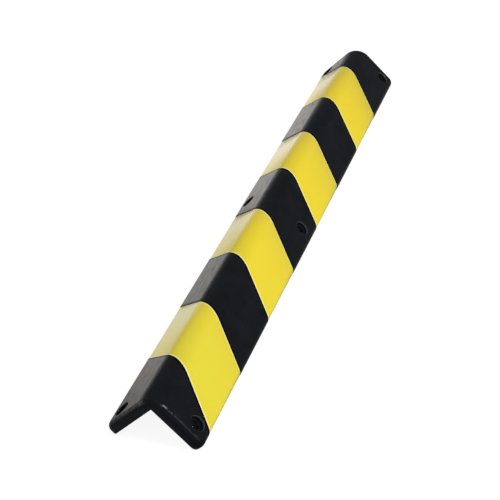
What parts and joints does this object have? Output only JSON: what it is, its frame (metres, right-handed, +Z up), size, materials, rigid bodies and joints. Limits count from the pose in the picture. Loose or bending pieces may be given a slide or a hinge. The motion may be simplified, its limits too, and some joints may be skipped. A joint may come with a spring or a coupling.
{
  "type": "rubber corner guard",
  "caption": "Right-angled rubber corner guard with a rounded ridge, diagonal reflective tape bands in shallow recesses and counterbored screw holes in both flanges.",
  "frame": {"origin": "middle of the footprint, on the surface that the guard lies on, ridge up", "axes": "+Y along the guard towards its far end, +X across the ridge to the right flange, +Z up through the ridge"},
  "size_m": [0.1002, 0.8, 0.0505],
  "materials": {
    "rubber": "matt moulded",
    "tape": "reflective film"
  },
  "bodies": {
    "root": {"rubber_guard": "rubber", "tape_band_1": "tape", "tape_band_2": "tape", "tape_band_3": "tape", "tape_band_4": "tape"}
  },
  "joints": []
}
